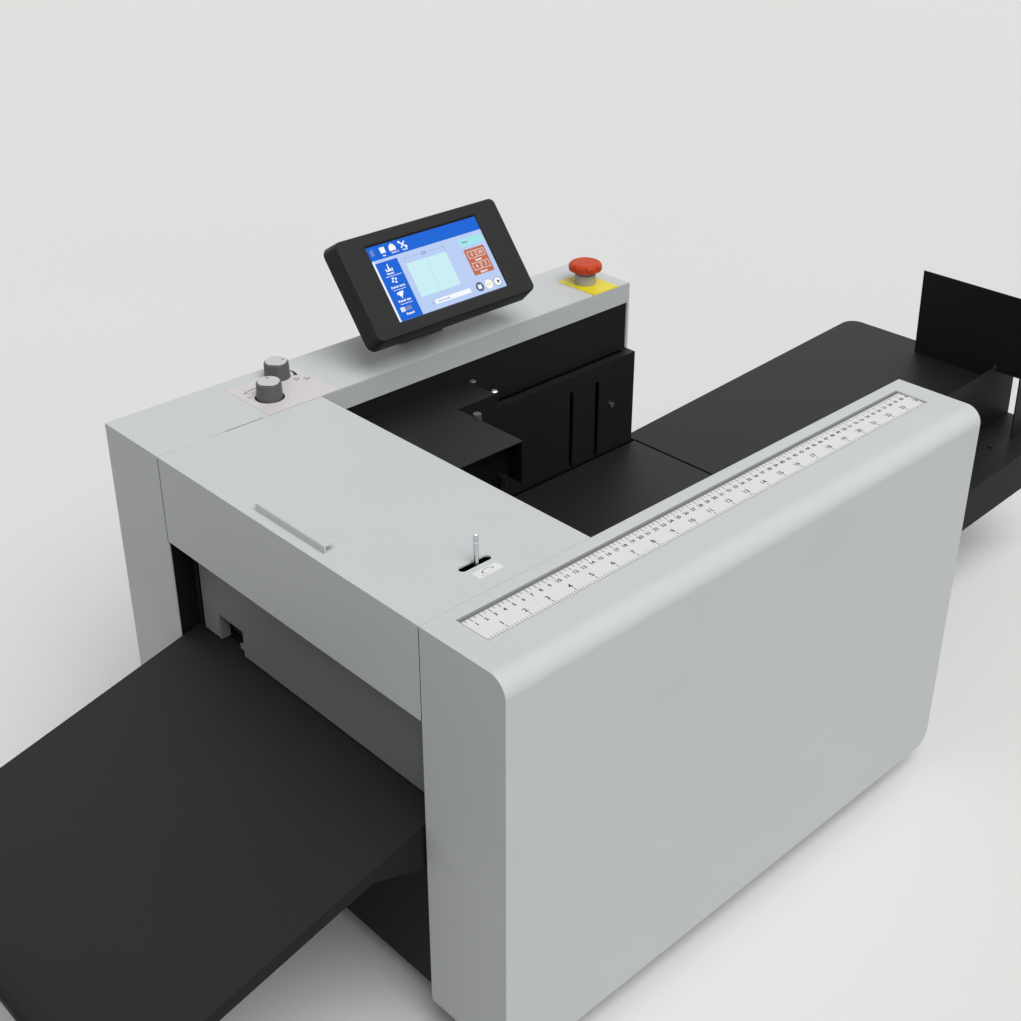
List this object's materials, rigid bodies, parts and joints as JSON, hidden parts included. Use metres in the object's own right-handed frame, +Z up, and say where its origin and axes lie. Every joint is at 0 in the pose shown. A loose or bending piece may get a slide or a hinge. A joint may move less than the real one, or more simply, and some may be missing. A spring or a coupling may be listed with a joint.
{
  "type": "desktop paper creasing machine",
  "caption": "Desktop paper creasing machine with a hinged bridge cover, vacuum feed bed with extension table and back stop, tilting touch panel, ruler-topped casing and sloping delivery tray.",
  "frame": {"origin": "middle of the whole object's outline at the level that the feet stand on", "axes": "+X across the sheet from the control tower to the ruler casing, +Y from the delivery tray to the feed end, +Z up"},
  "size_m": [0.5828, 1.53, 0.5914],
  "materials": {
    "zinc_steel": "zinc-plated sheet steel",
    "foot_rubber": "moulded black rubber",
    "case_paint": "fine-textured light grey powder coat on sheet steel",
    "black_paint": "fine-textured satin black powder coat on sheet steel",
    "grey_sheet": "smooth mid-grey paint on bent sheet steel",
    "bright_steel": "polished and plated steel rod",
    "roller_rubber": "ground polyurethane sleeve on a steel shaft",
    "bush_bronze": "sintered bronze bush",
    "belt_rubber": "rubber toothed belt",
    "motor_black": "black painted motor case",
    "alloy": "machined aluminium",
    "ground_steel": "ground tool steel",
    "duct_plastic": "matt moulded plastic",
    "vacuum_belt": "perforated rubber-coated fabric belt",
    "ruler_white": "printed white plastic scale with plain numbers",
    "overlay_white": "matt polyester overlay",
    "knob_grey": "matt moulded dark grey plastic",
    "knob_cap": "matt light grey plastic cap",
    "stop_yellow": "yellow laminated plate",
    "stop_grey": "moulded light grey collar",
    "stop_red": "moulded red-orange plastic",
    "panel_black": "fine-textured moulded dark grey ABS",
    "screen": null,
    "inlet_black": "moulded black nylon",
    "board_green": "circuit board and housings"
  },
  "bodies": {
    "machine": {"base_pan": "zinc_steel", "rubber_feet": "foot_rubber", "tower_shell": "case_paint", "tower_inner_wall": "black_paint", "casing_shell": "case_paint", "casing_inner_wall": "black_paint", "lower_panels": "black_paint", "bridge_frame": "zinc_steel", "exit_plate": "grey_sheet", "bridge_rear_panel": "black_paint", "pins_and_screws": "bright_steel", "bearing_bushes": "bush_bronze", "timing_belt": "belt_rubber", "drive_motors": "motor_black", "crease_anvil": "ground_steel", "paper_guides": "zinc_steel", "feed_bed": "black_paint", "side_plate": "black_paint", "air_ducts": "duct_plastic", "blower": "motor_black", "suction_box": "zinc_steel", "vacuum_belts": "vacuum_belt", "feed_head_cover": "black_paint", "extension_table": "black_paint", "extension_beam": "black_paint", "delivery_tray": "black_paint", "ruler_scale": "ruler_white", "knob_overlay": "overlay_white", "potentiometers": "zinc_steel", "estop_plate": "stop_yellow", "estop_collar": "stop_grey", "panel_stand": "black_paint", "mains_inlet": "inlet_black", "electronics": "board_green"},
    "cover": {"bridge_cover": "case_paint", "cover_handle": "case_paint"},
    "lever": {"release_lever": "bright_steel"},
    "front_knob": {"knob_front": "knob_grey", "knob_front_cap": "knob_cap"},
    "rear_knob": {"knob_rear": "knob_grey", "knob_rear_cap": "knob_cap"},
    "stop_stem": {"estop_stem": "stop_grey"},
    "stop_head": {"estop_head": "stop_red"},
    "panel": {"panel_bezel": "panel_black", "panel_rear": "panel_black", "display_glass": "screen"},
    "guide": {"side_guide": "black_paint"},
    "end_stop": {"back_stop": "black_paint"},
    "crease_shaft": {"eccentric_shaft": "ground_steel"},
    "pinion": {"crease_pinion": "ground_steel"},
    "crease_beam": {"blade_carrier": "alloy"},
    "infeed_lower": {"infeed_lower_roller": "roller_rubber"},
    "infeed_upper": {"infeed_upper_roller": "roller_rubber"},
    "exit_lower": {"exit_lower_roller": "roller_rubber"},
    "exit_upper": {"exit_upper_roller": "roller_rubber"},
    "feed_motor": {"motor_pulley": "alloy"},
    "belt_drive": {"belt_drive_roller": "alloy"},
    "belt_idler": {"belt_idler_roller": "alloy"},
    "impeller": {"blower_impeller": "alloy"},
    "rocker": {"power_rocker": "inlet_black"}
  },
  "joints": [
    {"name": "cover_hinge", "type": "hinge", "parent": "machine", "child": "cover", "pos_m": [-0.0006, -0.25047, 0.447], "axis": [-1, 0, 0], "range_deg": [0, 70]},
    {"name": "lever_rock", "type": "hinge", "parent": "machine", "child": "lever", "pos_m": [0.15435, -0.34077, 0.41], "axis": [-1, 0, 0], "range_deg": [-8, 14]},
    {"name": "front_knob_turn", "type": "hinge", "parent": "machine", "child": "front_knob", "pos_m": [-0.22735, -0.28197, 0.455], "axis": [0, 0, 1], "range_deg": [-135, 135]},
    {"name": "rear_knob_turn", "type": "hinge", "parent": "machine", "child": "rear_knob", "pos_m": [-0.26365, -0.24717, 0.455], "axis": [0, 0, 1], "range_deg": [-135, 135]},
    {"name": "stop_push", "type": "slide", "parent": "machine", "child": "stop_stem", "axis": [0, 0, -1], "range_m": [0, 0.004], "stiffness_N_per_m": 1500, "springref_m": -0.002},
    {"name": "stop_twist", "type": "hinge", "parent": "stop_stem", "child": "stop_head", "pos_m": [-0.22985, 0.18723, 0.473], "axis": [0, 0, 1], "range_deg": [0, 40], "stiffness_Nm_per_rad": 0.05},
    {"name": "panel_tilt", "type": "hinge", "parent": "machine", "child": "panel", "pos_m": [-0.22285, -0.06547, 0.504], "axis": [0, 1, 0], "range_deg": [-20, 15]},
    {"name": "guide_slide", "type": "slide", "parent": "machine", "child": "guide", "axis": [-1, 0, 0], "range_m": [0, 0.19]},
    {"name": "end_stop_slide", "type": "slide", "parent": "machine", "child": "end_stop", "axis": [0, -0.999, -0.0454], "range_m": [0, 0.4]},
    {"name": "crease_turn", "type": "hinge", "parent": "machine", "child": "crease_shaft", "pos_m": [-0.0006, -0.33547, 0.326], "axis": [-1, 0, 0], "range_deg": [0, 60]},
    {"name": "crease_drop", "type": "slide", "parent": "machine", "child": "crease_beam", "axis": [0, 0, -1], "range_m": [0, 0.0081]},
    {"name": "pinion_turn", "type": "hinge", "parent": "machine", "child": "pinion", "pos_m": [-0.22985, -0.33547, 0.27], "axis": [-1, 0, 0], "range_deg": [-152, 2]},
    {"name": "infeed_turn", "type": "hinge", "parent": "machine", "child": "infeed_lower", "pos_m": [-0.0006, -0.27547, 0.24085], "axis": [1, 0, 0], "continuous": true},
    {"name": "infeed_nip_turn", "type": "hinge", "parent": "machine", "child": "infeed_upper", "pos_m": [-0.0006, -0.27547, 0.26615], "axis": [1, 0, 0], "continuous": true},
    {"name": "exit_turn", "type": "hinge", "parent": "machine", "child": "exit_lower", "pos_m": [-0.0006, -0.39047, 0.24085], "axis": [1, 0, 0], "continuous": true},
    {"name": "exit_nip_turn", "type": "hinge", "parent": "machine", "child": "exit_upper", "pos_m": [-0.0006, -0.39047, 0.26615], "axis": [1, 0, 0], "continuous": true},
    {"name": "feed_motor_turn", "type": "hinge", "parent": "machine", "child": "feed_motor", "pos_m": [-0.21685, -0.30547, 0.125], "axis": [1, 0, 0], "continuous": true},
    {"name": "belt_drive_turn", "type": "hinge", "parent": "machine", "child": "belt_drive", "pos_m": [-0.0006, -0.20147, 0.2277], "axis": [1, 0, 0], "continuous": true},
    {"name": "belt_idler_turn", "type": "hinge", "parent": "machine", "child": "belt_idler", "pos_m": [-0.0006, -0.04747, 0.2277], "axis": [1, 0, 0], "continuous": true},
    {"name": "impeller_spin", "type": "hinge", "parent": "machine", "child": "impeller", "pos_m": [0.22385, -0.12547, 0.2267], "axis": [1, 0, 0], "continuous": true},
    {"name": "rocker_tip", "type": "hinge", "parent": "machine", "child": "rocker", "pos_m": [-0.21885, 0.22653, 0.099], "axis": [1, 0, 0], "range_deg": [0, 16]}
  ],
  "couplings": [
    {"joint": "infeed_nip_turn", "follows": "infeed_turn", "ratio": -1.5},
    {"joint": "exit_turn", "follows": "infeed_turn", "ratio": 1},
    {"joint": "exit_nip_turn", "follows": "infeed_turn", "ratio": -1.5},
    {"joint": "feed_motor_turn", "follows": "infeed_turn", "ratio": 1.5},
    {"joint": "belt_drive_turn", "follows": "infeed_turn", "ratio": 1},
    {"joint": "belt_idler_turn", "follows": "infeed_turn", "ratio": 1},
    {"joint": "crease_drop", "follows": "crease_turn", "m_per_rad": 0.0076394},
    {"joint": "pinion_turn", "follows": "crease_turn", "ratio": -2.5}
  ]
}
